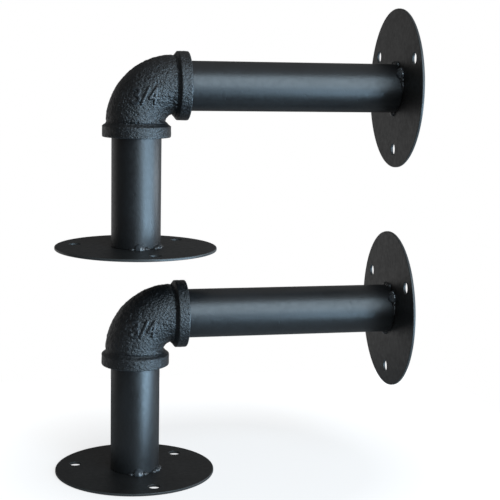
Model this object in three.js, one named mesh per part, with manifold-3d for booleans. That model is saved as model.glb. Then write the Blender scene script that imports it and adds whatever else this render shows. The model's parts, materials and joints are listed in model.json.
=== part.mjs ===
// A pair of wall-mounted pipe shelf brackets, one above the other.
//
// Each bracket is a round wall plate, a horizontal arm pipe, a banded 90 degree elbow, a short leg pipe
// and a round foot plate. The pipes are welded to the plates and screwed into the elbow.
//
// The frame is in millimetres with +Z up. The origin is the middle of the upper wall plate's back face.
// The wall is the plane y = 0, the arms reach out along -Y, and the legs hang down along -Z.

import * as THREE from 'three';
import { mergeVertices } from 'three/addons/utils/BufferGeometryUtils.js';
import Module from 'manifold-3d';

// Driving dimensions of a bracket
const pipeDiameter = 26.9;
const pipeWall = 2.3;
const armReach = 145; // front face of the wall plate to the axis of the leg
const legDrop = 87; // axis of the arm to the top face of the foot plate
const bracketGap = 18; // underside of the upper foot plate to the top of the lower elbow

// Round plates
const plateDiameter = 88;
const plateThickness = 1.5;
const screwHoleDiameter = 6.5;
const screwHoleEdge = 10; // centre of a screw hole to the edge of the plate
const screwHoleCount = 3;

// Banded elbow
const elbowWall = 2.75; // metal outside the threaded socket
const crotchRadius = 3.5; // inside curve between the two branches
const collarWidth = 7.5;
const collarRise = 2; // step from the body up to the collar
const collarBevel = 1.6;
const collarEdge = 0.6;
const socketClearance = 0.3; // gap round a pipe in its socket
const socketStep = 0.75; // step from the socket down to the waterway
const socketRelief = 0.5; // gap from a pipe's end to the bottom of its socket
const pipeEndGap = 1.05; // gap from a pipe's end to the side of the other pipe

// Weld beads
const weldWidth = 3.4; // along the plate
const weldHeight = 3.6; // along the pipe
const weldClearance = 0.3; // gap from a bead to the pipe

// Overrun of every cutting shape past the face that it cuts
const overrun = 1;

// Angles, in degrees
const elbowTurn = 90;
const legTurn = -20; // how far the leg was turned when it was screwed home
const firstScrewHole = 30;

// Facets
const pipeSides = 48;
const plateSides = 72;
const holeSides = 24;
const elbowSides = 36;
const bendSteps = 9;
const wedgeSteps = 8;

// The beads between a pipe and its plate, by the angles at which each starts and ends. A plate's angles
// go round its pipe from +X: towards +Z on the wall plate, and towards +Y on the foot plate.
const wallWelds = [
  { name: 'wall_weld_front', start: -6, end: 54 },
  { name: 'wall_weld_top', start: 66, end: 118 },
  { name: 'wall_weld_under', start: 248, end: 282 },
];
const footWelds = [
  { name: 'foot_weld_front', start: -4, end: 46 },
  { name: 'foot_weld_inner', start: 54, end: 106 },
  { name: 'foot_weld_back', start: 220, end: 260 },
];

// Outline of a bead's section, as shares of its width and height
const weldSectionShares = [[0, 0], [1, 0], [0.84, 0.46], [0.46, 0.84], [0, 1], [0, 0]];

// Sizes that follow from the ones above
const pipeRadius = pipeDiameter / 2;
const pipeBoreRadius = pipeRadius - pipeWall;
const socketRadius = pipeRadius + socketClearance;
const waterwayRadius = socketRadius - socketStep;
const bodyRadius = socketRadius + elbowWall;
const collarRadius = bodyRadius + collarRise;
const bendRadius = bodyRadius + crotchRadius;
const bendAngle = THREE.MathUtils.degToRad(elbowTurn);
const halfBend = bendRadius * bendAngle / 2; // half of the bend, along its centre line
const centreToEnd = bendRadius + collarWidth;
const pipeEnd = pipeRadius + pipeEndGap; // elbow's centre to the end of each pipe
const socketBottom = pipeEnd - socketRelief;
const bracketPitch = legDrop + plateThickness + bracketGap + collarRadius;

const paintedSteel = new THREE.MeshStandardMaterial({ color: 0x2b2c2e, roughness: 0.45, metalness: 0.3 });
const platePaint = new THREE.MeshStandardMaterial({ color: 0x2a2827, roughness: 0.6, metalness: 0.2 });
const castIron = new THREE.MeshStandardMaterial({ color: 0x2b2f33, roughness: 0.5, metalness: 0.3 });
const weldMetal = new THREE.MeshStandardMaterial({ color: 0x2e3133, roughness: 0.4, metalness: 0.3 });

const wasm = await Module();
wasm.setup();

// Turn a closed geometry into a solid that can be joined and cut.
function toSolid(geometry) {
  const bare = geometry.clone();
  bare.deleteAttribute('normal');
  bare.deleteAttribute('uv');
  const merged = mergeVertices(bare);
  const vertProperties = new Float32Array(merged.getAttribute('position').array);
  const triVerts = new Uint32Array(merged.index.array);
  return new wasm.Manifold(new wasm.Mesh({ numProp: 3, vertProperties, triVerts }));
}

// Turn a solid back into a geometry.
function toGeometry(solid) {
  const mesh = solid.getMesh();
  const geometry = new THREE.BufferGeometry();
  geometry.setAttribute('position', new THREE.BufferAttribute(new Float32Array(mesh.vertProperties), 3));
  geometry.setIndex(new THREE.BufferAttribute(new Uint32Array(mesh.triVerts), 1));
  geometry.computeVertexNormals();
  return geometry;
}

// Turn a section of [radius, height] points round the Z axis.
function turned(section, sides) {
  const points = section.map(([radius, height]) => new THREE.Vector2(radius, height));
  const geometry = new THREE.LatheGeometry(points, sides);
  geometry.rotateX(Math.PI / 2);
  return geometry;
}

// A pipe from the plane z = 0 up to its length, open at both ends.
function pipeGeometry(length) {
  const section = [
    [pipeBoreRadius, 0],
    [pipeRadius, 0],
    [pipeRadius, length],
    [pipeBoreRadius, length],
    [pipeBoreRadius, 0],
  ];
  return turned(section, pipeSides);
}

// A round plate with screw holes, from the plane z = 0 down to its thickness.
function plateGeometry() {
  const plateRadius = plateDiameter / 2;
  const outline = new THREE.Shape();
  outline.absarc(0, 0, plateRadius, 0, 2 * Math.PI, false);
  const disc = new THREE.ExtrudeGeometry(outline, {
    depth: plateThickness,
    bevelEnabled: false,
    curveSegments: plateSides,
  });
  disc.translate(0, 0, -plateThickness);

  let plate = toSolid(disc);
  const drillLength = plateThickness + 2 * overrun;
  for (let index = 0; index < screwHoleCount; index += 1) {
    const angle = THREE.MathUtils.degToRad(firstScrewHole) + index * 2 * Math.PI / screwHoleCount;
    const drill = new THREE.CylinderGeometry(
      screwHoleDiameter / 2,
      screwHoleDiameter / 2,
      drillLength,
      holeSides,
    );
    drill.rotateX(Math.PI / 2);
    drill.translate(plateRadius - screwHoleEdge, 0, -plateThickness / 2);
    drill.rotateZ(angle);
    plate = plate.subtract(toSolid(drill));
  }
  return toGeometry(plate);
}

// A weld bead round a pipe, on the plane z = 0.
function weldGeometry(start, end) {
  const inner = pipeRadius + weldClearance;
  const section = weldSectionShares.map(
    ([acrossShare, upShare]) => [inner + acrossShare * weldWidth, upShare * weldHeight],
  );
  const ring = turned(section, pipeSides);

  const reach = 2 * (inner + weldWidth);
  const wedge = new THREE.Shape();
  wedge.moveTo(0, 0);
  for (let step = 0; step <= wedgeSteps; step += 1) {
    const angle = THREE.MathUtils.degToRad(start + (end - start) * step / wedgeSteps);
    wedge.lineTo(reach * Math.cos(angle), reach * Math.sin(angle));
  }
  const cutter = new THREE.ExtrudeGeometry(wedge, {
    depth: weldHeight + 2 * overrun,
    bevelEnabled: false,
  });
  cutter.translate(0, 0, -overrun);
  return toGeometry(toSolid(ring).intersect(toSolid(cutter)));
}

// Bend a geometry that was turned round the Z axis along the elbow's centre line. A point's z is its
// distance along that line from the middle of the bend. The line leaves the bend along -Z at one end
// and along +Y at the other, and the elbow's centre, where both branches' axes cross, is the origin.
function bendAlongElbow(geometry) {
  const points = geometry.getAttribute('position');
  for (let index = 0; index < points.count; index += 1) {
    const along = points.getZ(index);
    const onBend = THREE.MathUtils.clamp(along, -halfBend, halfBend);
    const past = along - onBend;
    const angle = bendAngle / 2 - onBend / bendRadius;
    const outward = bendRadius - points.getY(index);
    const y = bendRadius - outward * Math.sin(angle) + past * Math.cos(angle);
    const z = -bendRadius + outward * Math.cos(angle) + past * Math.sin(angle);
    points.setXYZ(index, points.getX(index), y, z);
  }
  return geometry;
}

// A ring of the given radius at each step of the bend, from its lower end to its upper end.
function ringsRoundBend(radius) {
  const rings = [];
  for (let step = 0; step <= bendSteps; step += 1) {
    rings.push([radius, halfBend * (2 * step / bendSteps - 1)]);
  }
  return rings;
}

// The elbow's outside, as a solid: collar, body, collar.
function elbowOutside() {
  const end = halfBend + collarWidth;
  const collar = [
    [collarRadius, halfBend + collarBevel],
    [collarRadius, end - collarEdge],
    [collarRadius - collarEdge, end],
    [0, end],
  ];
  const lowerCollar = collar.toReversed().map(([radius, along]) => [radius, -along]);
  const section = [...lowerCollar, ...ringsRoundBend(bodyRadius), ...collar];
  return toSolid(bendAlongElbow(turned(section, elbowSides)));
}

// The elbow's waterway, as a solid that runs past both ends.
function elbowWaterway() {
  const end = halfBend + collarWidth + overrun;
  const section = [
    [0, -end],
    [waterwayRadius, -end],
    ...ringsRoundBend(waterwayRadius),
    [waterwayRadius, end],
    [0, end],
  ];
  return toSolid(bendAlongElbow(turned(section, elbowSides)));
}

// One threaded socket, as a plain solid along +Y from its bottom to past the elbow's end.
function elbowSocket() {
  const depth = centreToEnd - socketBottom + overrun;
  const socket = new THREE.CylinderGeometry(socketRadius, socketRadius, depth, pipeSides);
  socket.translate(0, socketBottom + depth / 2, 0);
  return socket;
}

// The whole elbow, with its sockets facing +Y and -Z.
function elbowGeometry() {
  const armSocket = elbowSocket();
  const legSocket = elbowSocket();
  legSocket.rotateX(-Math.PI / 2);
  const elbow = elbowOutside()
    .subtract(elbowWaterway())
    .subtract(toSolid(armSocket))
    .subtract(toSolid(legSocket));
  return toGeometry(elbow);
}

function addMesh(parent, name, geometry, material) {
  const mesh = new THREE.Mesh(geometry, material);
  mesh.name = name;
  parent.add(mesh);
}

// A plate with a pipe standing on it and the beads round the pipe's foot. The plate's front face is the
// plane z = 0.
function makeWeldment(plateName, pipeName, pipeLength, welds, side) {
  const weldment = new THREE.Group();
  addMesh(weldment, plateName, plateGeometry(), platePaint);
  addMesh(weldment, pipeName, pipeGeometry(pipeLength), paintedSteel);
  for (const weld of welds) {
    addMesh(weldment, `${side}_${weld.name}`, weldGeometry(weld.start, weld.end), weldMetal);
  }
  return weldment;
}

// One bracket. Its origin is the middle of its wall plate's back face.
function makeBracket(side) {
  const bracket = new THREE.Group();

  const armLength = armReach - pipeEnd;
  const arm = makeWeldment(`${side}_wall_plate`, `${side}_arm_pipe`, armLength, wallWelds, side);
  arm.rotation.x = Math.PI / 2;
  arm.position.y = -plateThickness;
  bracket.add(arm);

  const corner = new THREE.Group();
  corner.position.y = -plateThickness - armReach;
  bracket.add(corner);
  addMesh(corner, `${side}_elbow`, elbowGeometry(), castIron);

  const legLength = legDrop - pipeEnd;
  const leg = makeWeldment(`${side}_foot_plate`, `${side}_leg_pipe`, legLength, footWelds, side);
  leg.rotation.z = THREE.MathUtils.degToRad(legTurn);
  leg.position.z = -legDrop;
  corner.add(leg);

  return bracket;
}

const group = new THREE.Group();
const upperBracket = makeBracket('upper');
const lowerBracket = makeBracket('lower');
lowerBracket.position.z = -bracketPitch;
group.add(upperBracket, lowerBracket);

export default group;
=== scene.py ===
"""The looks of a pair of wall-mounted pipe shelf brackets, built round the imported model.

Every surface is a function of two parameters worked out on a numpy grid. Lengths are metres, in the
model's own frame: the wall is the plane y = 0, the arms reach out along -Y and the legs hang along -Z.
"""

import json
import math

import bmesh
import bpy
import numpy as np
from mathutils import Matrix, Vector


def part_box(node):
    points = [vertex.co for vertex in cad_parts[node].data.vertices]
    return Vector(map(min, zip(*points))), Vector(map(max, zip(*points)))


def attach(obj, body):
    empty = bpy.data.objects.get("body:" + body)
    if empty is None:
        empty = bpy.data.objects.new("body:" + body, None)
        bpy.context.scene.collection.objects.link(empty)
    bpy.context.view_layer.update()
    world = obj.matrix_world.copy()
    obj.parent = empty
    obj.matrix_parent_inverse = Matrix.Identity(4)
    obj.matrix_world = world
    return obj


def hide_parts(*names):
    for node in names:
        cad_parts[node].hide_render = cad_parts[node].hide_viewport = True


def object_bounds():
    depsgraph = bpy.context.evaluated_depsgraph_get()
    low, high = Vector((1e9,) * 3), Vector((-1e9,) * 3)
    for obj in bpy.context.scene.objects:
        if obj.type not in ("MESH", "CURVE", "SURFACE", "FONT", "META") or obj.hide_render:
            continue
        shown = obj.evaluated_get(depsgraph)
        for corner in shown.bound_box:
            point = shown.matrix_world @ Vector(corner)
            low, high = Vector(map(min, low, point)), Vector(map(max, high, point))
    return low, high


bl_info = {
    "name": "Pipe shelf brackets",
    "version": (1, 0, 0),
    "blender": (4, 5, 0),
    "location": "3D View > Sidebar > Brackets",
    "description": "Builds painted pipe shelf brackets round their packed model",
    "category": "Object",
}

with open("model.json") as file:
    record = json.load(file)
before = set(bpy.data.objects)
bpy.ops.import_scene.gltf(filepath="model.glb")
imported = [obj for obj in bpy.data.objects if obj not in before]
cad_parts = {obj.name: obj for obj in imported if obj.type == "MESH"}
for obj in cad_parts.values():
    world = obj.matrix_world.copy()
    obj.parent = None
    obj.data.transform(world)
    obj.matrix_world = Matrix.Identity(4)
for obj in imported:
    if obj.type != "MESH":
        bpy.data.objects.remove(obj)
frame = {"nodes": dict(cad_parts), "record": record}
CAD_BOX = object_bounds()

MM = 0.001
SIDES = ("upper", "lower")
SCREW_HOLES = 3


def box_size(node):
    """The lengths of a node's box along X, Y and Z."""
    low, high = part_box(node)
    return high - low


PIPE_RADIUS = box_size("upper_arm_pipe").x / 2
PLATE_RADIUS = box_size("upper_wall_plate").x / 2
PLATE_THICKNESS = box_size("upper_wall_plate").y
COLLAR_RADIUS = box_size("upper_elbow").x / 2
CENTRE_TO_END = box_size("upper_elbow").z - COLLAR_RADIUS


# Sizes and colours that a user would change


class BracketSizes(bpy.types.PropertyGroup):
    """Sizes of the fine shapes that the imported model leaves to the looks."""

    pipe_wall: bpy.props.FloatProperty(
        name="Pipe wall", description="Thickness of the pipe's wall", default=2.3 * MM, unit="LENGTH"
    )
    pipe_wave: bpy.props.FloatProperty(
        name="Pipe wave", description="Height of the slow waves in the pipe's skin", default=0.018 * MM,
        unit="LENGTH",
    )
    plate_edge: bpy.props.FloatProperty(
        name="Plate edge", description="Radius of the plate's rolled edge", default=0.4 * MM, unit="LENGTH"
    )
    hole_edge: bpy.props.FloatProperty(
        name="Hole edge", description="Radius round the mouth of a screw hole", default=0.25 * MM,
        unit="LENGTH",
    )
    body_radius: bpy.props.FloatProperty(
        name="Elbow body", description="Radius of the elbow between its collars", default=16.5 * MM,
        unit="LENGTH",
    )
    bend_radius: bpy.props.FloatProperty(
        name="Elbow bend", description="Radius of the elbow's centre line", default=20 * MM, unit="LENGTH"
    )
    collar_bevel: bpy.props.FloatProperty(
        name="Collar bevel", description="Length of the slope from the body up to a collar",
        default=1.5 * MM, unit="LENGTH",
    )
    collar_edge: bpy.props.FloatProperty(
        name="Collar edge", description="Radius of a collar's outer edges", default=0.45 * MM, unit="LENGTH"
    )
    throat_relief: bpy.props.FloatProperty(
        name="Throat relief", description="How much slimmer the elbow's body is inside the bend",
        default=1.3 * MM, unit="LENGTH",
    )
    collar_groove: bpy.props.FloatProperty(
        name="Collar groove", description="Depth of the groove at the foot of a collar",
        default=0.4 * MM, unit="LENGTH",
    )
    socket_radius: bpy.props.FloatProperty(
        name="Socket", description="Radius of the elbow's sockets", default=13.75 * MM, unit="LENGTH"
    )
    socket_bottom: bpy.props.FloatProperty(
        name="Socket bottom", description="Distance from the elbow's centre to the bottom of a socket",
        default=14 * MM, unit="LENGTH",
    )
    waterway_radius: bpy.props.FloatProperty(
        name="Waterway", description="Radius of the elbow's inside between its sockets", default=13 * MM,
        unit="LENGTH",
    )
    cast_height: bpy.props.FloatProperty(
        name="Casting", description="Height of the lumps that the sand mould leaves on the elbow",
        default=0.30 * MM, unit="LENGTH",
    )
    mark_height: bpy.props.FloatProperty(
        name="Numerals", description="Height of the raised size numerals on the elbow", default=8.2 * MM,
        unit="LENGTH",
    )
    mark_rise: bpy.props.FloatProperty(
        name="Numerals' rise", description="How far the size numerals stand out of the elbow",
        default=0.9 * MM, unit="LENGTH",
    )
    weld_width: bpy.props.FloatProperty(
        name="Weld width", description="Width of a weld bead along the plate", default=3.0 * MM,
        unit="LENGTH",
    )
    weld_height: bpy.props.FloatProperty(
        name="Weld height", description="Height of a weld bead along the pipe", default=2.9 * MM,
        unit="LENGTH",
    )


class BracketColours(bpy.types.PropertyGroup):
    """Colours of the paints and of the floor."""

    pipe_paint: bpy.props.FloatVectorProperty(
        name="Pipe paint", description="Satin black paint on the pipes", default=(0.0085, 0.0095, 0.0105),
        subtype="COLOR", size=3,
    )
    plate_paint: bpy.props.FloatVectorProperty(
        name="Plate paint", description="Matt black paint on the plates", default=(0.0145, 0.014, 0.0134),
        subtype="COLOR", size=3,
    )
    elbow_paint: bpy.props.FloatVectorProperty(
        name="Elbow paint", description="Satin black paint on the elbows", default=(0.0075, 0.0082, 0.009),
        subtype="COLOR", size=3,
    )
    weld_paint: bpy.props.FloatVectorProperty(
        name="Weld paint", description="Paint on the weld beads", default=(0.018, 0.020, 0.022),
        subtype="COLOR", size=3,
    )
    floor: bpy.props.FloatVectorProperty(
        name="Floor", description="Pale floor", default=(0.42, 0.42, 0.42), subtype="COLOR", size=3
    )


class StudioView(bpy.types.PropertyGroup):
    """The camera, the windows, the room's brightness and the table top."""

    azimuth: bpy.props.FloatProperty(
        name="Azimuth", description="Turn of the camera round the object, from the arms' ends",
        default=math.radians(77.0), subtype="ANGLE",
    )
    elevation: bpy.props.FloatProperty(
        name="Elevation", description="Height of the camera above the horizon",
        default=math.radians(8.93), subtype="ANGLE",
    )
    roll: bpy.props.FloatProperty(
        name="Roll", description="Turn of the camera about its own line of sight",
        default=math.radians(1.12), subtype="ANGLE",
    )
    distance: bpy.props.FloatProperty(
        name="Distance", description="From the camera to the upper foot plate", default=0.7,
        unit="LENGTH",
    )
    pixels_per_metre: bpy.props.FloatProperty(
        name="Scale", description="Pixels a metre takes at the upper foot plate", default=1837.0
    )
    aim_x: bpy.props.FloatProperty(
        name="Aim across", description="Pixel column of the middle of the upper foot plate", default=135.9
    )
    aim_y: bpy.props.FloatProperty(
        name="Aim down", description="Pixel row of the middle of the upper foot plate", default=246.2
    )
    window_level: bpy.props.FloatProperty(
        name="Windows", description="Brightness of the windows, in watts per square metre and steradian",
        default=3.9,
    )
    window_distance: bpy.props.FloatProperty(
        name="Window distance", description="From the middle of the object to each window", default=1.1,
        unit="LENGTH",
    )
    window_colour: bpy.props.FloatVectorProperty(
        name="Window colour", description="Colour of the tall window", default=(0.66, 0.85, 1.0),
        subtype="COLOR", size=3,
    )
    sky_colour: bpy.props.FloatVectorProperty(
        name="Sky colour", description="Colour of the two low windows", default=(0.5, 0.76, 1.0),
        subtype="COLOR", size=3,
    )
    side_colour: bpy.props.FloatVectorProperty(
        name="Side colour", description="Colour of the side window", default=(0.8, 0.9, 1.0),
        subtype="COLOR", size=3,
    )
    room_dark: bpy.props.FloatProperty(
        name="Dark side", description="Brightness of the room away from the windows", default=0.02
    )
    room_light: bpy.props.FloatProperty(
        name="Light side", description="Brightness of the room by the windows", default=0.28
    )
    room_back: bpy.props.FloatProperty(
        name="Back", description="Brightness of the room behind the object", default=0.42
    )
    room_wall: bpy.props.FloatProperty(
        name="Wall", description="Brightness of the room behind the object on the wall's side", default=0.2
    )
    mirror_share: bpy.props.FloatProperty(
        name="Mirrored white", description="Share of the white background that shines in the paint",
        default=0.05, subtype="FACTOR",
    )
    table_reach: bpy.props.FloatProperty(
        name="Table reach", description="From the object's middle to the sides of the table top",
        default=0.2, unit="LENGTH",
    )
    table_front: bpy.props.FloatProperty(
        name="Table front", description="From the object's middle to the table top's edge by the windows",
        default=0.09, unit="LENGTH",
    )
    floor_glow: bpy.props.FloatProperty(
        name="Floor glow", description="How white the camera sees the floor close by", default=0.74
    )


# Surfaces on a grid

# Points closer together than this become one.
SEAM = 0.002 * MM
# Cells along each side of the cube of random values that noise is read from, past which it repeats.
LATTICE_CELLS = 64


def ring_points(radius, angle, height):
    """Points at the given radii and angles round +Z and at the given heights."""
    x, y = radius * np.cos(angle), radius * np.sin(angle)
    return np.stack(np.broadcast_arrays(x, y, height), axis=-1)


def grid_faces(points, wrap_rows=False, wrap_columns=False):
    """Corners of the quads between neighbouring points of a grid, whose points are numbered row by row."""
    rows, columns = points.shape[:2]
    row = np.arange(rows if wrap_rows else rows - 1)[:, None]
    column = np.arange(columns if wrap_columns else columns - 1)[None, :]
    next_row = (row + 1) % rows
    next_column = (column + 1) % columns
    corners = (
        row * columns + column,
        row * columns + next_column,
        next_row * columns + next_column,
        next_row * columns + column,
    )
    return np.stack(corners, axis=-1).reshape(-1, 4)


def add_object(name, data):
    """A new object in the scene."""
    thing = bpy.data.objects.new(name, data)
    bpy.context.scene.collection.objects.link(thing)
    return thing


def mesh_object(name, parts, sharp):
    """An object made of grids: each part is an array of points, the quads between them and how much paler
    the paint is at each point, partly rubbed and partly a painted highlight. Points that fall together
    become one, and the faces are turned to point outwards. An edge is shaded sharp where its faces meet at
    more than the given angle."""
    points = []
    faces = []
    wear_and_highlight = []
    count = 0
    for part_points, part_faces, part_wear_and_highlight in parts:
        flat = part_points.reshape(-1, 3)
        points.append(flat)
        faces.append(part_faces + count)
        wear_and_highlight.append(np.broadcast_to(part_wear_and_highlight, part_points.shape[:-1]).reshape(-1))
        count += len(flat)
    mesh = bpy.data.meshes.new(name)
    mesh.from_pydata(np.concatenate(points).tolist(), [], np.concatenate(faces).tolist())
    # Each point's paleness: rubbed paint, and painted highlights on the edges, numerals and weld lumps.
    paleness_layer = mesh.attributes.new("edge_wear", "FLOAT", "POINT")
    paleness_layer.data.foreach_set("value", np.concatenate(wear_and_highlight))

    shell = bmesh.new()
    shell.from_mesh(mesh)
    bmesh.ops.remove_doubles(shell, verts=shell.verts, dist=SEAM)
    if shell.calc_volume(signed=True) < 0:
        bmesh.ops.reverse_faces(shell, faces=shell.faces)
    shell.to_mesh(mesh)
    shell.free()

    mesh.polygons.foreach_set("use_smooth", np.ones(len(mesh.polygons), bool))
    mesh.set_sharp_from_angle(angle=sharp)
    mesh.update()
    return add_object(name, mesh)


def smooth_step(value, low, high):
    """0 below low, 1 above high, and t * t * (3 - 2 * t) between them."""
    t = np.clip((value - low) / (high - low), 0, 1)
    return t * t * (3 - 2 * t)


def lattice_noise(points, size, seed):
    """Smooth random heights from -1 to 1 with lumps of the given size: random values on a cubic
    lattice, blended along each axis with t * t * (3 - 2 * t)."""
    table = np.random.default_rng(seed).uniform(-1, 1, (LATTICE_CELLS, LATTICE_CELLS, LATTICE_CELLS))
    place = points / size
    low = np.floor(place).astype(np.int64)
    t = place - low
    t = t * t * (3 - 2 * t)
    low %= LATTICE_CELLS
    high = (low + 1) % LATTICE_CELLS
    total = np.zeros(points.shape[:-1])
    for corner in np.ndindex(2, 2, 2):
        index = tuple(np.where(side, high[..., axis], low[..., axis]) for axis, side in enumerate(corner))
        share = np.ones(points.shape[:-1])
        for axis, side in enumerate(corner):
            share *= t[..., axis] if side else 1 - t[..., axis]
        total += share * table[index]
    return total


def placed(points, matrix):
    """Points of a piece's own frame, put where the matrix says."""
    matrix = np.array(matrix)
    return points @ matrix[:3, :3].T + matrix[:3, 3]


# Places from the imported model


def wall_frame(side):
    """Frame of a wall plate: its front face is z = 0, +Z points out along the arm and +Y points up."""
    low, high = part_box(f"{side}_wall_plate")
    middle = (low + high) / 2
    turn = Matrix.Rotation(math.pi / 2, 4, "X")
    return Matrix.Translation((middle.x, low.y, middle.z)) @ turn


def foot_frame(side):
    """Frame of a foot plate: its top face is z = 0 and +Z points up the leg."""
    low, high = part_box(f"{side}_foot_plate")
    middle = (low + high) / 2
    return Matrix.Translation((middle.x, middle.y, high.z))


def elbow_centre(side):
    """Where the axes of an elbow's two branches cross."""
    low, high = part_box(f"{side}_elbow")
    return Vector(((low.x + high.x) / 2, high.y - CENTRE_TO_END, low.z + CENTRE_TO_END))


def node_points(node):
    """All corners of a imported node."""
    return np.array([corner.co for corner in frame["nodes"][node].data.vertices])


def screw_hole(side, plate, matrix):
    """A plate's first screw hole: its angle round the plate's own frame, its distance from the middle and
    its radius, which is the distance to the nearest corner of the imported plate. The other holes share the
    same circle evenly."""
    openings = {opening["name"]: opening["box_m"] for opening in frame["record"]["physics"]["openings"]}
    low, high = openings[f"{side}_{plate}_screw_hole_1"]
    middle = matrix.inverted() @ ((Vector(low) + Vector(high)) / 2)
    flat = placed(node_points(f"{side}_{plate}_plate"), matrix.inverted())[:, :2]
    radius = np.linalg.norm(flat - np.array(middle.xy), axis=1).min()
    return math.atan2(middle.y, middle.x), middle.xy.length, radius


def finish_piece(piece, node, body, slot):
    """Ride on the node's body, stand for the node and take its finish. The model's own plain materials
    have the slots' names, so each coat has a longer one."""
    piece.data.materials.append(bpy.data.materials[f"{slot}_coat"])
    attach(piece, body)
    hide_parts(node)


# Plates

PLATE_SHARP = math.radians(50)
# Points along a sector's arc and along each of its straight sides.
ARC_POINTS = 97
SPOKE_POINTS = 40
# Points of the quarter circles round the mouth of a hole and round the rolled edge.
LIP_POINTS = 5
ROLL_POINTS = 6
# Where the rings of a flat face lie, as shares of the way from a hole's mouth to the sector's border. They
# crowd together at both ends, so that the face is flat right up to its rounded edges.
RING_SHARES = np.concatenate([[0, 0.012], np.linspace(0.05, 0.95, 19), [0.988, 1]])
# How much paler, smoother and flatter the paint is on a hole's wall.
HOLE_WALL_PALENESS = 0.5


def raised(plane, angle, height):
    """Points of a plane, turned round its origin by an angle and put at a height."""
    turn = np.array([[math.cos(angle), -math.sin(angle)], [math.sin(angle), math.cos(angle)]])
    height = np.broadcast_to(height, plane.shape[:-1])
    return np.concatenate([plane @ turn.T, height[..., None]], axis=-1)


def sector_border(across, sector):
    """The outline of a sector with its middle on +X: out along one radius, round the arc and back."""
    angle = np.linspace(-sector / 2, sector / 2, ARC_POINTS)
    arc = across * np.stack([np.cos(angle), np.sin(angle)], axis=-1)
    spoke = np.linspace(0, 1, SPOKE_POINTS, endpoint=False)[:, None]
    return np.concatenate([spoke * arc[0], arc, (spoke * arc[-1])[:0:-1]])


def rim_part(start, sizes):
    """A plate's rolled edge: a profile of two quarter circles, carried round the plate from the angle at
    which the first sector starts. The paint is paler where the edge stands out most, partly rubbed and
    partly a painted highlight along the rim."""
    sides = SCREW_HOLES * (ARC_POINTS - 1)
    angle = np.linspace(0, 2 * math.pi, sides, endpoint=False)[:, None] + start
    roll = np.linspace(0, math.pi / 2, ROLL_POINTS)
    edge = sizes.plate_edge
    across = PLATE_RADIUS - edge
    radius = np.concatenate([across + edge * np.sin(roll), across + edge * np.cos(roll)])
    height = np.concatenate([edge * (np.cos(roll) - 1), edge * (1 - np.sin(roll)) - PLATE_THICKNESS])
    rim = ring_points(radius, angle, height)
    faces = grid_faces(rim, wrap_rows=True)[:, ::-1]
    # The rim's paler paint is partly rubbed and partly a painted highlight.
    return rim, faces, smooth_step(radius, across, PLATE_RADIUS)


def plate_parts(first_angle, distance, hole, sizes):
    """A disc with a rolled edge and a round hole in each of its equal sectors.

    Each sector's faces run in straight lines from the hole's mouth out to the sector's border, which is
    two radii and an arc, so a point is (1 - u) * mouth(v) + u * border(v). Strips close the hole's wall
    and the disc's edge, both rounded by quarter circles."""
    sector = 2 * math.pi / SCREW_HOLES
    border = sector_border(PLATE_RADIUS - sizes.plate_edge, sector)
    middle = np.array([distance, 0])
    outward = border - middle
    outward /= np.linalg.norm(outward, axis=-1, keepdims=True)
    mouth = middle + (hole + sizes.hole_edge) * outward
    barrel = middle + hole * outward

    share = RING_SHARES[:, None, None]
    flat = (1 - share) * mouth + share * border
    roll = np.linspace(0, math.pi / 2, LIP_POINTS)[:, None, None]
    lip = barrel + (mouth - barrel) * (1 - np.sin(roll))
    lip_depth = sizes.hole_edge * (1 - np.cos(roll))[..., 0]

    parts = []
    for number in range(SCREW_HOLES):
        angle = first_angle + number * sector
        top = raised(flat, angle, 0)
        under = raised(flat, angle, -PLATE_THICKNESS)[::-1]
        upper_lip = raised(lip, angle, -lip_depth)
        lower_lip = raised(lip, angle, lip_depth - PLATE_THICKNESS)[::-1]
        wall = np.concatenate([upper_lip, lower_lip])[::-1]
        for grid, wear_and_highlight in ((top, 0), (under, 0), (wall, HOLE_WALL_PALENESS)):
            parts.append((grid, grid_faces(grid, wrap_columns=True), wear_and_highlight))
    parts.append(rim_part(first_angle - sector / 2, sizes))
    return parts


def make_plate(side, plate, matrix, body, sizes):
    """One plate, which takes the place of the model's plain one."""
    parts = plate_parts(*screw_hole(side, plate, matrix), sizes)
    parts = [(placed(points, matrix), faces, wear_and_highlight) for points, faces, wear_and_highlight in parts]
    piece = mesh_object(f"{side}_{plate}_plate_painted", parts, PLATE_SHARP)
    finish_piece(piece, f"{side}_{plate}_plate", body, "plate_paint")


# Pipes

PIPE_SHARP = math.radians(30)
PIPE_SIDES = 160
PIPE_RINGS = 60
# Slope at each end of a pipe.
PIPE_EDGE = 0.3 * MM
# Size of the slow waves in a pipe's skin.
PIPE_WAVE_SIZE = 9 * MM
ARM_SEED = 10
LEG_SEED = 20


def pipe_points(length, seed, sizes):
    """A pipe along +Z, closed over both ends and through its bore. Its outside dips inwards in slow waves:
    its radius is r + w * min(noise, 0)."""
    rings = np.linspace(0, 1, PIPE_RINGS)[1:-1] * length
    along = np.concatenate([[0, PIPE_EDGE], rings, [length - PIPE_EDGE, length]])
    outside = np.full(len(along), PIPE_RADIUS)
    outside[[0, -1]] -= PIPE_EDGE
    inside = PIPE_RADIUS - sizes.pipe_wall
    height = np.concatenate([along, [length, 0]])
    radius = np.concatenate([outside, [inside, inside]])
    angle = np.linspace(0, 2 * math.pi, PIPE_SIDES, endpoint=False)[:, None]
    noise = lattice_noise(ring_points(radius, angle, height), PIPE_WAVE_SIZE, seed)
    wave = sizes.pipe_wave * np.minimum(noise, 0) * (radius > inside)
    return ring_points(radius + wave, angle, height)


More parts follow.
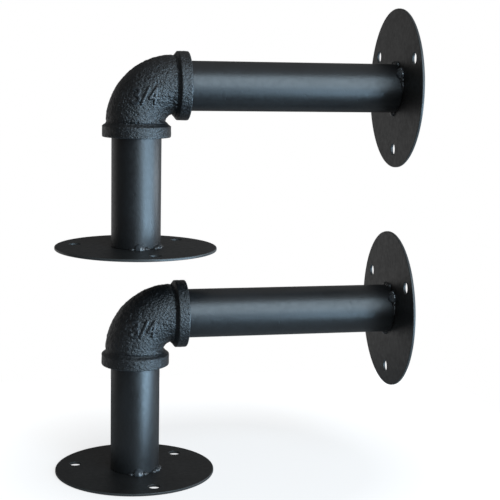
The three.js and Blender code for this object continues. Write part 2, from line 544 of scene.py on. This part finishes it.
def make_pipe(side, pipe, matrix, length, body, seed, sizes):
    """One pipe, standing on its plate."""
    points = placed(pipe_points(length, seed, sizes), matrix)
    faces = grid_faces(points, wrap_rows=True, wrap_columns=True)
    piece = mesh_object(f"{side}_{pipe}_pipe_painted", [(points, faces, 0)], PIPE_SHARP)
    finish_piece(piece, f"{side}_{pipe}_pipe", body, "pipe_paint")


# Elbows

ELBOW_SHARP = math.radians(60)
ELBOW_SIDES = 360
# Rings of the outside: over a collar's end face, its flat and its slope, and over the body.
FACE_RINGS = 9
FLAT_RINGS = 17
SLOPE_RINGS = 7
BODY_RINGS = 110
# Rings of the inside: in each socket, and in the waterway between them.
SOCKET_RINGS = 5
WATERWAY_RINGS = 39
# Where a collar's slope starts and ends on its smooth step. Both lie past its ends, which leaves a crease.
SLOPE_SPAN = (-0.1, 1.05)
# Width of the groove at a collar's foot, and how many widths its middle is from there.
GROOVE_WIDTH = 0.5 * MM
GROOVE_PLACE = 0.4
# Where the throat starts and is deepest, as the sine of the angle round the elbow, and how far from the
# collars it is at its full depth.
THROAT_SPAN = (0.2, 1.0)
THROAT_FADE = 5 * MM
# Lumps of the casting: the size of each kind, its share of their height and whether it runs in streaks.
CAST_LUMPS = (
    (0.8 * MM, 0.5, True),
    (1.9 * MM, 0.2, False),
    (0.7 * MM, 0.5, False),
    (6 * MM, 0.3, False),
)
# The axes along which a streak's place is measured. It is longest where they are shortest.
STREAK_AXES = np.array([[1.0, 0.0, 0.0], [0.0, 0.7, 0.7], [0.0, 0.45, -0.45]])
# Shares by which the lumps are lower round the numerals and on the collars.
MARK_CALM = 0.75
COLLAR_CALM = 0.5
# Middle of the numerals from the elbow's centre, as shares of the bend's radius, and how they lean.
MARK_MIDDLE_SHARES = np.array([0.12, -0.24])
MARK_SLANT = np.array([[1.0, -0.12], [0.0, 1.0]])
# In numeral heights from the middle of a stroke: where its side starts and ends, and where the calm round
# it does.
STROKE_SIDE = (0.07, 0.12)
STROKE_CALM = (0.12, 0.3)
# How much paler the paint is on the numerals: partly rubbed, and partly a painted highlight that lifts them
# out of the shade.
MARK_WEAR_AND_HIGHLIGHT = 0.7
# In numeral heights: the middle, radius and first and last angle of the three's two bowls, and the ends of
# the straight strokes of the bar and the four.
BOWLS = (((-0.62, 0.26), 0.21, 150, -90), ((-0.62, -0.23), 0.25, 90, -150))
STRAIGHT_STROKES = (
    ((-0.17, -0.5), (0.17, 0.5)),
    ((0.66, -0.48), (0.66, 0.5)),
    ((0.66, 0.5), (0.3, -0.16)),
    ((0.3, -0.16), (0.86, -0.16)),
)
BOWL_STEPS = 8
ELBOW_SEEDS = (30, 40)


def elbow_lengths(sizes):
    """Lengths along the elbow's centre line: from the middle of the bend to where a branch starts and to
    its end."""
    half = sizes.bend_radius * math.pi / 4
    return half, half + CENTRE_TO_END - sizes.bend_radius


def elbow_points(radius, angle, along, sizes):
    """Points at the given radii and angles round the elbow's centre line and at the distances s along it
    from the middle of the bend. On the bend a ring is turned by s / R about the bend's middle, and past it
    goes straight."""
    bend = sizes.bend_radius
    half, _ = elbow_lengths(sizes)
    on_bend = np.clip(along, -half, half)
    past = along - on_bend
    turned = math.pi / 4 - on_bend / bend
    outward = bend - radius * np.sin(angle)
    x = radius * np.cos(angle)
    y = bend - outward * np.sin(turned) + past * np.cos(turned)
    z = -bend + outward * np.cos(turned) + past * np.sin(turned)
    return np.stack(np.broadcast_arrays(x, y, z), axis=-1)


def elbow_profile(sizes):
    """Distances along the centre line and radii of the elbow's outside, from the arm's end to the leg's
    end: collar face, rounded edge, flat, slope, groove, body, and the same again in reverse."""
    half, end = elbow_lengths(sizes)
    edge = sizes.collar_edge
    roll = np.linspace(0, math.pi / 2, ROLL_POINTS)
    edge_along = end - edge + edge * np.cos(roll)
    edge_radius = COLLAR_RADIUS - edge + edge * np.sin(roll)
    face_radius = np.linspace(sizes.socket_radius + edge / 2, edge_radius[0], FACE_RINGS, endpoint=False)
    slope_length = sizes.collar_bevel + edge / 2
    flat_along = np.linspace(end - edge, half + slope_length, FLAT_RINGS + 1)[1:]
    slope = np.linspace(0, 1, SLOPE_RINGS + 1)[1:]
    slope_along = half + slope_length - slope * slope_length
    slope_radius = COLLAR_RADIUS - smooth_step(slope, *SLOPE_SPAN) * (COLLAR_RADIUS - sizes.body_radius)
    collar_along = np.concatenate([np.full(FACE_RINGS, end), edge_along, flat_along, slope_along])
    flat_radius = np.full(FLAT_RINGS, COLLAR_RADIUS)
    collar_radius = np.concatenate([face_radius, edge_radius, flat_radius, slope_radius])
    body_along = np.linspace(half, -half, BODY_RINGS + 2)[1:-1]
    from_groove = (half - np.abs(body_along)) / GROOVE_WIDTH - GROOVE_PLACE
    body_radius = sizes.body_radius - sizes.collar_groove * np.exp(-(from_groove**2))
    along = np.concatenate([collar_along, body_along, -collar_along[::-1]])
    radius = np.concatenate([collar_radius, body_radius, collar_radius[::-1]])
    return along, radius


def bore_radius(along, angle, sizes):
    """Radius of the elbow's inside in each direction: the farther of the bent waterway and the straight
    socket. In a ring turned by t from the socket's mouth, the socket's wall lies where
    (x, y cos t + R (1 - cos t)) is a socket radius from the socket's axis, which is a quadratic in the
    distance from the ring's middle."""
    half, _ = elbow_lengths(sizes)
    in_branch = np.abs(along) > half
    turned = np.clip(half - np.abs(along), 0, None) / sizes.bend_radius
    depth = np.where(in_branch, CENTRE_TO_END, sizes.bend_radius * (1 - np.sin(turned)))
    x, y = np.cos(angle), np.sin(angle)
    shift = sizes.bend_radius * (1 - np.cos(turned))
    a = x**2 + (y * np.cos(turned)) ** 2
    b = y * np.cos(turned) * shift
    c = shift**2 - sizes.socket_radius**2
    socket = (-b + np.sqrt(np.clip(b**2 - a * c, 0, None))) / a
    widest = np.maximum(socket, sizes.waterway_radius)
    return np.where(depth > sizes.socket_bottom, widest, sizes.waterway_radius)


def stroke_distance(points, strokes):
    """Distance from each point of a plane to the nearest of the straight strokes."""
    nearest = np.full(points.shape[:-1], np.inf)
    for start, end in strokes:
        start = np.array(start)
        step = np.array(end) - start
        t = np.clip(((points - start) @ step) / (step @ step), 0, 1)
        nearest = np.minimum(nearest, np.linalg.norm(points - start - t[..., None] * step, axis=-1))
    return nearest


def numeral_strokes():
    """Straight strokes of a three, a bar and a four, one unit high and centred on the origin."""
    strokes = list(STRAIGHT_STROKES)
    for (across, up), radius, start, end in BOWLS:
        angles = np.radians(np.linspace(start, end, BOWL_STEPS + 1))
        points = np.stack([across + radius * np.cos(angles), up + radius * np.sin(angles)], axis=-1)
        strokes.extend(zip(points[:-1], points[1:]))
    return strokes


def cast_lumps(points, seed):
    """Heights of the casting's lumps: the sum of every kind's share of its own noise."""
    lumps = np.zeros(points.shape[:-1])
    for number, (size, share, streaked) in enumerate(CAST_LUMPS):
        place = points @ STREAK_AXES.T if streaked else points
        lumps += share * lattice_noise(place, size, seed + number)
    return lumps


def mark_distance(points, sizes):
    """Distance of each point from the numerals' strokes, seen along X, in numeral heights."""
    middle = MARK_MIDDLE_SHARES * sizes.bend_radius
    drawn = (points[..., 1:] - middle) / sizes.mark_height @ MARK_SLANT.T
    return stroke_distance(drawn, numeral_strokes())


def elbow_outside(around, seed, sizes):
    """The elbow's outside and how much paler its paint is, partly rubbed and partly a painted highlight. A
    point is p + h * noise * n on the plain bend p, which has the normal n, and the numerals stand out of it
    along X.
    The lumps are lower on the collars and round the numerals. The paint is paler on the collars' rounded
    edges and on the numerals, partly rubbed and partly a painted highlight."""
    along, radius = elbow_profile(sizes)
    half, end = elbow_lengths(sizes)
    brink = np.clip(1 - np.abs(np.abs(along) - end + sizes.collar_edge / 2) / sizes.collar_edge, 0, 1)
    # The collars' rounded edges get paler paint, partly rubbed and partly a painted highlight.
    edge_wear_and_highlight = brink * (radius > COLLAR_RADIUS - sizes.collar_edge)
    banded = smooth_step(radius, sizes.body_radius, COLLAR_RADIUS)

    throat = smooth_step(np.sin(around), *THROAT_SPAN) * smooth_step(half - np.abs(along), 0, THROAT_FADE)
    radius = radius - sizes.throat_relief * throat
    plain = elbow_points(radius, around, along, sizes)
    normal = elbow_points(radius + MM, around, along, sizes) - plain
    normal /= np.linalg.norm(normal, axis=-1, keepdims=True)

    near = mark_distance(plain, sizes)
    front = plain[..., 0] > 0
    mark = (1 - smooth_step(near, *STROKE_SIDE)) * front
    mark_calm = MARK_CALM * (1 - smooth_step(near, *STROKE_CALM)) * front
    calm = np.maximum(mark_calm, COLLAR_CALM * banded)
    lumps = sizes.cast_height * cast_lumps(plain, seed) * (1 - calm)
    points = plain + lumps[..., None] * normal
    points[..., 0] += sizes.mark_rise * mark
    # The numerals get paler paint, partly rubbed and partly a painted highlight out of the shade.
    return points, np.maximum(edge_wear_and_highlight, MARK_WEAR_AND_HIGHLIGHT * mark)


def elbow_inside(around, sizes):
    """The elbow's inside, from the leg's end to the arm's end: both sockets and the waterway."""
    half, end = elbow_lengths(sizes)
    leg_socket = np.linspace(-end, -half, SOCKET_RINGS + 1)[1:]
    waterway = np.linspace(-half, half, WATERWAY_RINGS + 2)[1:-1]
    arm_socket = np.linspace(half, end, SOCKET_RINGS + 1)[:-1]
    along = np.concatenate([leg_socket, waterway, arm_socket])[None, :]
    return elbow_points(bore_radius(along, around, sizes), around, along, sizes)


def make_elbow(side, seed, sizes):
    """One elbow: its outside and its inside joined into one closed surface."""
    around = np.linspace(0, 2 * math.pi, ELBOW_SIDES, endpoint=False)[:, None]
    outside, wear_and_highlight = elbow_outside(around, seed, sizes)
    inside = elbow_inside(around, sizes)
    points = np.concatenate([outside, inside], axis=1) + np.array(elbow_centre(side))
    wear_and_highlight = np.concatenate([wear_and_highlight, np.zeros(inside.shape[:-1])], axis=1)
    faces = grid_faces(points, wrap_rows=True, wrap_columns=True)
    piece = mesh_object(f"{side}_elbow_cast", [(points, faces, wear_and_highlight)], ELBOW_SHARP)
    finish_piece(piece, f"{side}_elbow", f"{side}_corner", "elbow_paint")


# Weld beads

BEAD_SHARP = math.radians(70)
BEAD_STEPS = 160
BEAD_SIDES = 48
# Size of a bead between its lumps, as a share of its full size, and how suddenly a bead ends.
THIN_RUN_SHARE = 0.25
END_POWER = 8
# Ripples in a bead: their height as a share of its size, their own size, and the radius of the ring that
# they are read from.
RIPPLE_SHARE = 0.1
RIPPLE_SIZE = 1.4 * MM
RIPPLE_RING = 1 * MM
# A bead's full size as a share of its width and height, which leaves room for its ripples.
BEAD_SHARE = 0.9
# How far a bead's middle stands off the pipe, and how far its section reaches into the pipe and the plate.
BEAD_OFFSET = 0.1 * MM
BEAD_IN_PIPE = 0.5 * MM
BEAD_IN_PLATE = 0.4 * MM
WALL_BEAD_SEED = 60
FOOT_BEAD_SEED = 70
# Each lump: where it lies along the bead, its half width and its height, all as shares of the whole.
WALL_BEADS = {
    "front": ((0.86, 0.14, 1.0), (0.66, 0.19, 1.4), (0.46, 0.12, 0.6), (0.24, 0.2, 0.4)),
    "top": ((0.15, 0.16, 0.75), (0.42, 0.16, 0.55), (0.74, 0.22, 0.6)),
    "under": ((0.2, 0.2, 0.5), (0.55, 0.26, 0.8), (0.86, 0.14, 0.45)),
}
FOOT_BEADS = {
    "front": ((0.13, 0.16, 0.42), (0.5, 0.24, 1.25), (0.8, 0.14, 0.6), (0.95, 0.1, 0.4)),
    "inner": ((0.14, 0.14, 0.6), (0.42, 0.2, 0.75), (0.68, 0.14, 0.6), (0.88, 0.12, 0.5)),
    "back": ((0.2, 0.18, 0.6), (0.52, 0.22, 0.85), (0.84, 0.16, 0.5)),
}
# Shares of a bead's full size at which its paint starts to turn paler and smoother, a painted glint on the
# larger lumps, and is wholly so.
BEAD_GLINT_LEVELS = (0.5, 1.0)


def bead_points(start, end, lumps, seed, sizes):
    """A lumpy bead in the corner between a pipe and its plate. Its section is an ellipse round that
    corner. The section's size is the thin run's share of the whole, or that of the highest lump
    h * sqrt(1 - ((t - c) / w) ** 2), and falls to nothing at both ends. The paint is paler on the
    larger lumps, a painted glint."""
    along = np.linspace(0, 1, BEAD_STEPS)
    angle = (start + (end - start) * along)[:, None]
    around = np.linspace(0, 2 * math.pi, BEAD_SIDES, endpoint=False)[None, :]
    centres, widths, heights = np.array(lumps).T
    swells = heights * np.sqrt(np.clip(1 - ((along[:, None] - centres) / widths) ** 2, 0, 1))
    ends = np.sqrt(np.clip(1 - np.abs(2 * along - 1) ** END_POWER, 0, 1))
    swell = (np.maximum(swells.max(axis=1), THIN_RUN_SHARE) * ends)[:, None]
    ring = PIPE_RADIUS + RIPPLE_RING + RIPPLE_RING * np.cos(around)
    place = ring_points(ring, angle, RIPPLE_RING * np.sin(around))
    swell = swell * (1 + RIPPLE_SHARE * lattice_noise(place, RIPPLE_SIZE, seed)) * BEAD_SHARE
    radius = PIPE_RADIUS + BEAD_OFFSET + swell * sizes.weld_width * np.cos(around)
    radius = np.maximum(radius, PIPE_RADIUS - BEAD_IN_PIPE)
    height = np.maximum(swell * sizes.weld_height * np.sin(around), -BEAD_IN_PLATE)
    # The larger lumps get paler paint as a painted glint.
    return ring_points(radius, angle, height), smooth_step(swell, *BEAD_GLINT_LEVELS)


def make_weld(side, joint, place, lumps, matrix, body, seed, sizes):
    """One bead, in the span that its node takes round the pipe."""
    node = f"{side}_{joint}_weld_{place}"
    local = placed(node_points(node), matrix.inverted())
    angles = np.arctan2(local[:, 1], local[:, 0])
    middle = math.atan2(local[:, 1].mean(), local[:, 0].mean())
    spans = (angles - middle + math.pi) % (2 * math.pi) - math.pi
    points, wear_and_highlight = bead_points(middle + spans.min(), middle + spans.max(), lumps, seed, sizes)
    faces = grid_faces(points, wrap_columns=True)
    piece = mesh_object(f"{node}_bead", [(placed(points, matrix), faces, wear_and_highlight)], BEAD_SHARP)
    finish_piece(piece, node, body, "weld_paint")


# Paint

# How many times paler the paint is where it is rubbed and where it carries a painted highlight, how much
# smoother, and by what share its bumps are flatter.
WEAR_AND_HIGHLIGHT_PALER = 4.5
WEAR_AND_HIGHLIGHT_SMOOTHER = 0.14
WEAR_AND_HIGHLIGHT_FLATTER = 0.8
# Noises of the paint: the size of their lumps and how many finer layers they have.
PATCHES = {"lump": 14 * MM, "detail": 3}
MOTTLES = {"lump": 2.5 * MM, "detail": 5}
PITS = {"lump": 1.6 * MM, "detail": 1}
BUMP_DETAIL = 2
NOISE_ROUGHNESS = 0.55
# Levels of the noise at which each effect starts and is at its full.
PATCH_LEVELS = (0.35, 0.65)
MOTTLE_LEVELS = (0.3, 0.7)
PIT_LEVELS = (0.7, 0.78)
# Factors that make the patches darker and lighter, how much smoother and rougher the mottles are, and how
# deep the pits are.
PATCH_SHADES = (0.8, 1.25)
MOTTLING = 0.06
PIT_DEPTH = 0.04 * MM
# The slope that the casting's streaks follow.
STREAK_TURN = (math.radians(45), 0, 0)
# Each finish: how rough it is, how it shines, the size and height of each layer of its bumps, and by what
# share they are stretched.
FINISHES = {
    "pipe_paint": (0.39, 1.0, ((1.5 * MM, 0.05 * MM), (0.4 * MM, 0.01 * MM)), 0),
    "plate_paint": (0.46, 0.5, ((1.1 * MM, 0.03 * MM), (0.3 * MM, 0.008 * MM)), 0),
    "elbow_paint": (0.34, 0.95, ((0.9 * MM, 0.4 * MM), (0.45 * MM, 0.2 * MM)), 0.25),
    "weld_paint": (0.33, 1.0, ((0.9 * MM, 0.05 * MM), (0.3 * MM, 0.008 * MM)), 0),
}


def add_node(tree, kind, values, **settings):
    """A new node. Each of its inputs is set to a value, or linked where the value is a socket."""
    node = tree.nodes.new(kind)
    for name, value in settings.items():
        setattr(node, name, value)
    for name, value in values.items():
        if isinstance(value, bpy.types.NodeSocket):
            tree.links.new(value, node.inputs[name])
        else:
            node.inputs[name].default_value = value
    return node


def add_math(tree, operation, *terms):
    """The result of an operation on numbers and sockets."""
    return add_node(tree, "ShaderNodeMath", dict(enumerate(terms)), operation=operation).outputs["Value"]


def add_measure(tree, operation, *vectors):
    """The number that an operation gives for two vectors, such as their distance."""
    values = dict(enumerate(vectors))
    return add_node(tree, "ShaderNodeVectorMath", values, operation=operation).outputs["Value"]


def add_noise(tree, place, lump, detail):
    """Noise whose lumps have the given size."""
    values = {"Vector": place, "Scale": 1 / lump, "Detail": detail, "Roughness": NOISE_ROUGHNESS}
    return add_node(tree, "ShaderNodeTexNoise", values).outputs["Fac"]


def add_range(tree, value, low, high, to_low, to_high):
    """A value taken from one range to another, and held at its ends."""
    values = {"Value": value, "From Min": low, "From Max": high, "To Min": to_low, "To Max": to_high}
    return add_node(tree, "ShaderNodeMapRange", values).outputs["Result"]


def add_shades(tree, value, colour):
    """The colour, darkened and lightened in patches by the value."""
    ramp = add_node(tree, "ShaderNodeValToRGB", {"Fac": value})
    for stop, level, shade in zip(ramp.color_ramp.elements, PATCH_LEVELS, PATCH_SHADES):
        stop.position = level
        stop.color = (*(channel * shade for channel in colour), 1)
    return ramp.outputs["Color"]


def add_colour_mix(tree, factor, first, second):
    """The first colour taken to the second by the factor. The mix node has sockets of the same name for
    every type of value, so those for colours are given by number."""
    sockets = {0: factor, 6: first, 7: second}
    return add_node(tree, "ShaderNodeMix", sockets, data_type="RGBA").outputs[2]


def add_bump(tree, height, distance, strength, under=None):
    """A bump of the given height, over an earlier one."""
    values = {"Height": height, "Distance": distance, "Strength": strength}
    if under is not None:
        values["Normal"] = under
    return add_node(tree, "ShaderNodeBump", values).outputs["Normal"]


def make_paint(slot, colour, roughness, shine, bumps, stretch):
    """Black paint: bumps of several sizes, each a lump size and a height, a few pits, darker and lighter
    patches, smoother and rougher mottles, and rubbed parts and painted highlights, which are paler,
    smoother and flatter."""
    material = bpy.data.materials.new(f"{slot}_coat")
    material.use_nodes = True
    tree = material.node_tree
    shader = tree.nodes["Principled BSDF"]
    shader.inputs["Specular IOR Level"].default_value = shine
    place = add_node(tree, "ShaderNodeTexCoord", {}).outputs["Object"]
    wear_and_highlight = add_node(tree, "ShaderNodeAttribute", {}, attribute_name="edge_wear").outputs["Fac"]

    shades = add_shades(tree, add_noise(tree, place, **PATCHES), colour)
    # The paler colour of rubbed paint and of painted highlights.
    wear_and_highlight_colour = (*(channel * WEAR_AND_HIGHLIGHT_PALER for channel in colour), 1)
    tree.links.new(add_colour_mix(tree, wear_and_highlight, shades, wear_and_highlight_colour), shader.inputs["Base Color"])

    mottle = add_noise(tree, place, **MOTTLES)
    rough = add_range(tree, mottle, *MOTTLE_LEVELS, roughness - MOTTLING, roughness + MOTTLING)
    rough = add_math(tree, "MULTIPLY_ADD", wear_and_highlight, -WEAR_AND_HIGHLIGHT_SMOOTHER, rough)
    tree.links.new(rough, shader.inputs["Roughness"])

    slope = {"Vector": place, "Rotation": STREAK_TURN, "Scale": (1, 1 - stretch, 1)}
    stretched = add_node(tree, "ShaderNodeMapping", slope).outputs["Vector"]
    strength = add_math(tree, "MULTIPLY_ADD", wear_and_highlight, -WEAR_AND_HIGHLIGHT_FLATTER, 1.0)
    normal = None
    for lump, height in bumps:
        lumps = add_noise(tree, stretched, lump, BUMP_DETAIL)
        normal = add_bump(tree, lumps, height, strength, under=normal)
    pits = add_range(tree, add_noise(tree, place, **PITS), *PIT_LEVELS, 1, 0)
    normal = add_bump(tree, pits, PIT_DEPTH, strength, under=normal)
    tree.links.new(normal, shader.inputs["Normal"])


# Stage

# The photograph's width, and the width of the camera's sensor in millimetres.
FRAME_PIXELS = 500
SENSOR_WIDTH = 36
# The table top lies this far under the lower foot plate. It shines very little.
FLOOR_GAP = 0.2 * MM
FLOOR_ROUGHNESS = 0.9
FLOOR_SHINE = 0.1
# How far from the leg's foot the camera starts to see the floor grow white, and sees it wholly white.
GLOW_REACH = (0.08, 0.18)
# Each glow of the room: the direction that it comes from, the cosine at which it starts, and the setting
# that holds its brightness.
ROOM_GLOWS = (
    ((0.35, 0.75, 0.56), -0.1, "room_light"),
    ((-0.80, -0.50, -0.33), 0.7, "room_back"),
    ((-0.77, 0.64, 0.0), 0.8, "room_wall"),
)
# Each window: its bearing and elevation in degrees, its width and height in metres, its share of the full
# brightness and the setting that holds its colour.
WINDOWS = {
    "tall_window": (18, 27, 0.75, 1.0, 0.92, "window_colour"),
    "low_window": (47, -2, 1.25, 0.45, 0.85, "sky_colour"),
    "under_window": (50, -20, 1.0, 0.34, 2.2, "sky_colour"),
    "side_window": (95, 0, 0.6, 0.5, 0.8, "side_colour"),
}


def background_share(tree, studio):
    """How much of the white background a ray sees: all of it for the camera, and a share of it for the
    rays that the paint mirrors."""
    rays = add_node(tree, "ShaderNodeLightPath", {}).outputs
    mirrored = add_math(tree, "MAXIMUM", rays["Is Glossy Ray"], rays["Is Transmission Ray"])
    return add_math(tree, "MULTIPLY_ADD", mirrored, studio.mirror_share, rays["Is Camera Ray"])


def make_floor(colours, studio):
    """A pale table top under the lower foot plate, which the camera sees as white outside the shadow. It
    ends close by the object on the windows' side, so that the lower leg mirrors the window below it."""
    middle = (CAD_BOX[0] + CAD_BOX[1]) / 2
    low = CAD_BOX[0].z - FLOOR_GAP
    back, front = middle.y - studio.table_reach, middle.y + studio.table_reach
    corners = [
        (-studio.table_reach, back, low),
        (studio.table_front, back, low),
        (studio.table_front, front, low),
        (-studio.table_reach, front, low),
    ]
    mesh = bpy.data.meshes.new("floor")
    mesh.from_pydata(corners, [], [(0, 1, 2, 3)])
    floor = add_object("floor", mesh)

    material = bpy.data.materials.new("floor")
    material.use_nodes = True
    tree = material.node_tree
    shader = tree.nodes["Principled BSDF"]
    shader.inputs["Base Color"].default_value = (*colours.floor, 1)
    shader.inputs["Roughness"].default_value = FLOOR_ROUGHNESS
    shader.inputs["Specular IOR Level"].default_value = FLOOR_SHINE
    shader.inputs["Emission Color"].default_value = (1, 1, 1, 1)
    place = add_node(tree, "ShaderNodeTexCoord", {}).outputs["Object"]
    distance = add_measure(tree, "DISTANCE", place, (0, middle.y, low))
    glow = add_range(tree, distance, *GLOW_REACH, studio.floor_glow, 1.0)
    glow = add_math(tree, "MULTIPLY", glow, background_share(tree, studio))
    tree.links.new(glow, shader.inputs["Emission Strength"])
    mesh.materials.append(material)


def make_world(studio):
    """A dark room that glows towards the windows and behind the object: each glow grows with the dot
    product of the direction and the glow's own. The camera sees the room as white."""
    world = bpy.data.worlds.new("room")
    world.use_nodes = True
    tree = world.node_tree
    background = tree.nodes["Background"]
    background.inputs["Color"].default_value = (1, 1, 1, 1)
    direction = add_node(tree, "ShaderNodeTexCoord", {}).outputs["Generated"]
    room = studio.room_dark
    for side, start, level in ROOM_GLOWS:
        toward = add_measure(tree, "DOT_PRODUCT", direction, side)
        glow = add_range(tree, toward, start, 1.0, 0.0, getattr(studio, level))
        room = add_math(tree, "ADD", glow, room)
    seen = add_range(tree, background_share(tree, studio), 0.0, 1.0, room, 1.0)
    tree.links.new(seen, background.inputs["Strength"])
    bpy.context.scene.world = world


def view_axes(studio):
    """Right, up and forward of the camera."""
    azimuth, elevation, roll = studio.azimuth, studio.elevation, studio.roll
    forward = Vector(
        (
            -math.sin(azimuth) * math.cos(elevation),
            math.cos(azimuth) * math.cos(elevation),
            -math.sin(elevation),
        )
    )
    right = Vector((math.cos(azimuth), math.sin(azimuth), 0))
    up = right.cross(forward)
    turned_right = right * math.cos(roll) + up * math.sin(roll)
    turned_up = up * math.cos(roll) - right * math.sin(roll)
    return turned_right, turned_up, forward


def make_camera(studio):
    """The photograph's view: the middle of the upper foot plate falls on the given pixel."""
    right, up, forward = view_axes(studio)
    low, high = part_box("upper_foot_plate")
    target = Vector(((low.x + high.x) / 2, (low.y + high.y) / 2, high.z))
    across = (studio.aim_x - FRAME_PIXELS / 2) / studio.pixels_per_metre
    down = (studio.aim_y - FRAME_PIXELS / 2) / studio.pixels_per_metre
    data = bpy.data.cameras.new("camera")
    data.sensor_width = SENSOR_WIDTH
    data.lens = studio.pixels_per_metre * studio.distance / FRAME_PIXELS * SENSOR_WIDTH
    camera = add_object("camera", data)
    axes = Matrix((right, up, -forward)).transposed().to_4x4()
    place = target - right * across + up * down - forward * studio.distance
    camera.matrix_world = Matrix.Translation(place) @ axes
    bpy.context.scene.camera = camera


def make_lamp(name, place, target, width, height, power, colour):
    """A soft rectangular lamp that faces a point."""
    data = bpy.data.lights.new(name, "AREA")
    data.shape = "RECTANGLE"
    data.size = width
    data.size_y = height
    data.energy = power
    data.color = colour
    lamp = add_object(name, data)
    aim = (Vector(target) - Vector(place)).to_track_quat("-Z", "Y")
    lamp.matrix_world = Matrix.Translation(place) @ aim.to_matrix().to_4x4()
    lamp.visible_camera = False


def bearing_step(bearing, elevation, distance):
    """A step of the given length, with the bearing turned from +X towards +Y, both angles in degrees."""
    bearing, elevation = math.radians(bearing), math.radians(elevation)
    level = distance * math.cos(elevation)
    return Vector((level * math.cos(bearing), level * math.sin(bearing), distance * math.sin(elevation)))


def make_lamps(studio):
    """The windows, which all face the middle of the object. A lamp of brightness L and area A has the
    power pi * L * A."""
    middle = (CAD_BOX[0] + CAD_BOX[1]) / 2
    for name, (bearing, elevation, width, height, share, colour) in WINDOWS.items():
        place = middle + bearing_step(bearing, elevation, studio.window_distance)
        power = math.pi * studio.window_level * share * width * height
        make_lamp(name, place, middle, width, height, power, getattr(studio, colour))


# Operators


class BRACKET_OT_paints(bpy.types.Operator):
    """Mix the paints"""

    bl_idname = "bracket.paints"
    bl_label = "Paints"

    def execute(self, context):
        for slot, finish in FINISHES.items():
            make_paint(slot, getattr(context.scene.bracket_colours, slot), *finish)
        return {"FINISHED"}


class BRACKET_OT_plates(bpy.types.Operator):
    """Make the wall plates and the foot plates"""

    bl_idname = "bracket.plates"
    bl_label = "Plates"

    def execute(self, context):
        sizes = context.scene.bracket_sizes
        for side in SIDES:
            make_plate(side, "wall", wall_frame(side), "arms", sizes)
            make_plate(side, "foot", foot_frame(side), f"{side}_leg", sizes)
        return {"FINISHED"}


class BRACKET_OT_pipes(bpy.types.Operator):
    """Make the arm pipes and the leg pipes"""

    bl_idname = "bracket.pipes"
    bl_label = "Pipes"

    def execute(self, context):
        sizes = context.scene.bracket_sizes
        for number, side in enumerate(SIDES):
            arm = box_size(f"{side}_arm_pipe").y
            leg = box_size(f"{side}_leg_pipe").z
            make_pipe(side, "arm", wall_frame(side), arm, "arms", ARM_SEED + number, sizes)
            make_pipe(side, "leg", foot_frame(side), leg, f"{side}_leg", LEG_SEED + number, sizes)
        return {"FINISHED"}


class BRACKET_OT_elbows(bpy.types.Operator):
    """Make the cast elbows"""

    bl_idname = "bracket.elbows"
    bl_label = "Elbows"

    def execute(self, context):
        for side, seed in zip(SIDES, ELBOW_SEEDS):
            make_elbow(side, seed, context.scene.bracket_sizes)
        return {"FINISHED"}


class BRACKET_OT_welds(bpy.types.Operator):
    """Make the weld beads"""

    bl_idname = "bracket.welds"
    bl_label = "Weld beads"

    def execute(self, context):
        sizes = context.scene.bracket_sizes
        for side in SIDES:
            for seed, (place, lumps) in enumerate(WALL_BEADS.items(), WALL_BEAD_SEED):
                make_weld(side, "wall", place, lumps, wall_frame(side), "arms", seed, sizes)
            for seed, (place, lumps) in enumerate(FOOT_BEADS.items(), FOOT_BEAD_SEED):
                make_weld(side, "foot", place, lumps, foot_frame(side), f"{side}_leg", seed, sizes)
        return {"FINISHED"}


class BRACKET_OT_stage(bpy.types.Operator):
    """Make the floor, the room, the lamps and the camera"""

    bl_idname = "bracket.stage"
    bl_label = "Stage"

    def execute(self, context):
        scene = context.scene
        scene.view_settings.view_transform = "Standard"
        make_floor(scene.bracket_colours, scene.bracket_studio)
        make_world(scene.bracket_studio)
        make_lamps(scene.bracket_studio)
        make_camera(scene.bracket_studio)
        return {"FINISHED"}


OPERATORS = (
    BRACKET_OT_paints,
    BRACKET_OT_plates,
    BRACKET_OT_pipes,
    BRACKET_OT_elbows,
    BRACKET_OT_welds,
    BRACKET_OT_stage,
)


class BRACKET_PT_panel(bpy.types.Panel):
    """Lists the steps in order"""

    bl_idname = "BRACKET_PT_panel"
    bl_label = "Pipe shelf brackets"
    bl_space_type = "VIEW_3D"
    bl_region_type = "UI"
    bl_category = "Brackets"

    def draw(self, context):
        for operator in OPERATORS:
            self.layout.operator(operator.bl_idname)


CLASSES = (BracketSizes, BracketColours, StudioView, *OPERATORS, BRACKET_PT_panel)


def register():
    """Add the classes and their settings."""
    for cls in CLASSES:
        bpy.utils.register_class(cls)
    bpy.types.Scene.bracket_sizes = bpy.props.PointerProperty(type=BracketSizes)
    bpy.types.Scene.bracket_colours = bpy.props.PointerProperty(type=BracketColours)
    bpy.types.Scene.bracket_studio = bpy.props.PointerProperty(type=StudioView)


def unregister():
    """Take the settings and the classes away."""
    del bpy.types.Scene.bracket_studio
    del bpy.types.Scene.bracket_colours
    del bpy.types.Scene.bracket_sizes
    for cls in reversed(CLASSES):
        bpy.utils.unregister_class(cls)


def main():
    """Build everything."""
    register()
    bpy.ops.bracket.paints()
    bpy.ops.bracket.plates()
    bpy.ops.bracket.pipes()
    bpy.ops.bracket.elbows()
    bpy.ops.bracket.welds()
    bpy.ops.bracket.stage()


if __name__ == "__main__":
    main()
